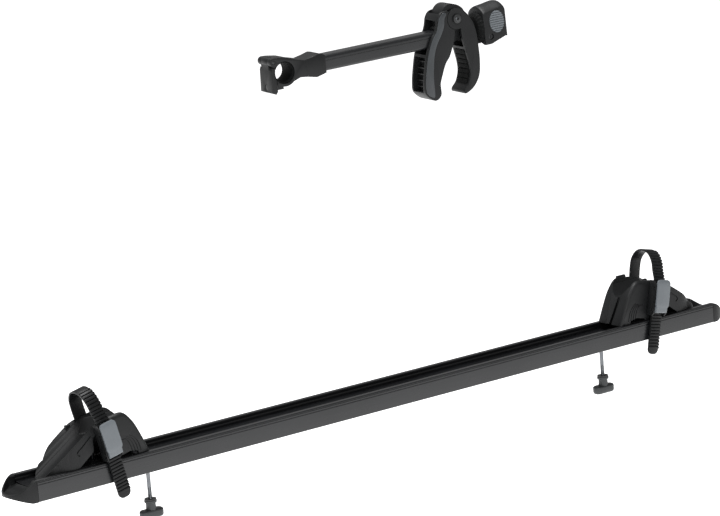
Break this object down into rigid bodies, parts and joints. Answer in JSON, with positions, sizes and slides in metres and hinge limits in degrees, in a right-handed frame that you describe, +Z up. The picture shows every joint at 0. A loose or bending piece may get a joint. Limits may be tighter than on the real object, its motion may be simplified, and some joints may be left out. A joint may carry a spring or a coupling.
{
  "type": "bicycle carrier wheel rail and frame arm",
  "caption": "Wheel rail with sliding strapped wheel cradles and T-knob clamp bolts, and a separate clamp-on arm whose screw-driven jaws hold a bicycle frame.",
  "frame": {"origin": "middle of the underside of the rail, midway between the two end caps", "axes": "+X along the rail away from the arm's bar clamp, -Y towards the strap buckles, +Z up"},
  "size_m": [1.3, 0.0945, 0.6432],
  "materials": {
    "anodised_aluminium": "black anodised, satin",
    "black_plastic": "fine moulded grain",
    "grey_plastic": "moulded blue-grey, satin",
    "rubber": "soft ribbed",
    "steel": "zinc plated"
  },
  "bodies": {
    "rail": {"rail_channel": "anodised_aluminium", "right_end_cap": "black_plastic", "left_end_cap": "black_plastic"},
    "left_bolt": {"left_clamp_bolt": "steel"},
    "left_washer": {"left_knob_washer": "steel"},
    "left_knob": {"left_t_knob": "black_plastic", "left_knob_nut": "steel"},
    "left_holder": {"left_wheel_cradle": "black_plastic", "left_slide_shoe": "black_plastic", "left_shoe_screw": "steel", "left_strap": "black_plastic", "left_strap_pin": "steel", "left_buckle_frame": "black_plastic", "left_lever_pin": "steel", "left_pawl_pin": "steel"},
    "left_lever": {"left_buckle_lever": "grey_plastic"},
    "left_pawl": {"left_release_pawl": "black_plastic"},
    "right_bolt": {"right_clamp_bolt": "steel"},
    "right_washer": {"right_knob_washer": "steel"},
    "right_knob": {"right_t_knob": "black_plastic", "right_knob_nut": "steel"},
    "right_holder": {"right_wheel_cradle": "black_plastic", "right_slide_shoe": "black_plastic", "right_shoe_screw": "steel", "right_strap": "black_plastic", "right_strap_pin": "steel", "right_buckle_frame": "black_plastic", "right_lever_pin": "steel", "right_pawl_pin": "steel"},
    "right_lever": {"right_buckle_lever": "grey_plastic"},
    "right_pawl": {"right_release_pawl": "black_plastic"},
    "arm": {"arm_tube": "anodised_aluminium", "clamp_housing": "black_plastic", "gate_pin": "steel", "housing_liner": "rubber", "jaw_head": "black_plastic", "pivot_bolt": "steel", "knob_collar": "black_plastic"},
    "gate": {"clamp_gate": "black_plastic", "gate_liner": "rubber", "clamp_screw": "steel"},
    "knob": {"torque_knob": "black_plastic", "front_knob_inlay": "grey_plastic", "back_knob_inlay": "grey_plastic", "knob_spindle": "steel"},
    "lock": {"lock_cylinder": "steel"},
    "left_jaw": {"left_jaw": "black_plastic", "left_jaw_pad": "rubber", "left_jaw_stripe": "grey_plastic"},
    "right_jaw": {"right_jaw": "black_plastic", "right_jaw_pad": "rubber"}
  },
  "joints": [
    {"name": "left_bolt_slide", "type": "slide", "parent": "rail", "child": "left_bolt", "axis": [1, 0, 0], "range_m": [-0.08, 0.08]},
    {"name": "left_knob_rise", "type": "slide", "parent": "left_bolt", "child": "left_washer", "axis": [0, 0, 1], "range_m": [-0.0101, 0.0301]},
    {"name": "left_knob_turn", "type": "hinge", "parent": "left_washer", "child": "left_knob", "pos_m": [-0.421, 0, -0.061], "axis": [0, 0, 1], "range_deg": [-3600, 10800]},
    {"name": "left_holder_slide", "type": "slide", "parent": "rail", "child": "left_holder", "axis": [1, 0, 0], "range_m": [-0.02, 0.2]},
    {"name": "left_lever_swing", "type": "hinge", "parent": "left_holder", "child": "left_lever", "pos_m": [-0.49725, -0.0405, 0.04464], "axis": [0.9763, 0, 0.2164], "range_deg": [0, 75]},
    {"name": "left_pawl_press", "type": "hinge", "parent": "left_holder", "child": "left_pawl", "pos_m": [-0.50417, -0.0402, 0.07589], "axis": [0.9763, 0, 0.2164], "range_deg": [-12, 8], "stiffness_Nm_per_rad": 0.05},
    {"name": "right_bolt_slide", "type": "slide", "parent": "rail", "child": "right_bolt", "axis": [1, 0, 0], "range_m": [-0.08, 0.08]},
    {"name": "right_knob_rise", "type": "slide", "parent": "right_bolt", "child": "right_washer", "axis": [0, 0, 1], "range_m": [-0.0101, 0.0301]},
    {"name": "right_knob_turn", "type": "hinge", "parent": "right_washer", "child": "right_knob", "pos_m": [0.411, 0, -0.061], "axis": [0, 0, 1], "range_deg": [-3600, 10800]},
    {"name": "right_holder_slide", "type": "slide", "parent": "rail", "child": "right_holder", "axis": [-1, 0, 0], "range_m": [-0.02, 0.2]},
    {"name": "right_lever_swing", "type": "hinge", "parent": "right_holder", "child": "right_lever", "pos_m": [0.49725, -0.0405, 0.04464], "axis": [0.9763, 0, -0.2164], "range_deg": [0, 75]},
    {"name": "right_pawl_press", "type": "hinge", "parent": "right_holder", "child": "right_pawl", "pos_m": [0.50417, -0.0402, 0.07589], "axis": [0.9763, 0, -0.2164], "range_deg": [-12, 8], "stiffness_Nm_per_rad": 0.05},
    {"name": "arm_swing", "type": "hinge", "parent": "rail", "child": "arm", "pos_m": [-0.1273, 0.024, 0.509], "axis": [0.1392, 0.9903, 0], "range_deg": [-30, 30]},
    {"name": "gate_swing", "type": "hinge", "parent": "arm", "child": "gate", "pos_m": [-0.1434, 0.02626, 0.52528], "axis": [0.1392, 0.9903, 0], "range_deg": [0, 100]},
    {"name": "knob_turn", "type": "hinge", "parent": "arm", "child": "knob", "pos_m": [0.21882, -0.02465, 0.52737], "axis": [0.9892, -0.139, 0.0454], "range_deg": [-1440, 540]},
    {"name": "lock_turn", "type": "hinge", "parent": "knob", "child": "lock", "pos_m": [0.20855, -0.0232, 0.51339], "axis": [0.1392, 0.9903, 0], "range_deg": [0, 90]},
    {"name": "left_jaw_swing", "type": "hinge", "parent": "arm", "child": "left_jaw", "pos_m": [0.1545, -0.01561, 0.54695], "axis": [0.1392, 0.9903, 0], "range_deg": [-8.1, 3.1]},
    {"name": "right_jaw_swing", "type": "hinge", "parent": "arm", "child": "right_jaw", "pos_m": [0.1545, -0.01561, 0.54695], "axis": [0.1392, 0.9903, 0], "range_deg": [-3.1, 8.1]}
  ],
  "couplings": [
    {"joint": "left_knob_rise", "follows": "left_knob_turn", "m_per_rad": 0.00015915},
    {"joint": "right_knob_rise", "follows": "right_knob_turn", "m_per_rad": 0.00015915},
    {"joint": "left_jaw_swing", "follows": "knob_turn", "ratio": 0.0055556},
    {"joint": "right_jaw_swing", "follows": "knob_turn", "ratio": -0.0055556}
  ]
}
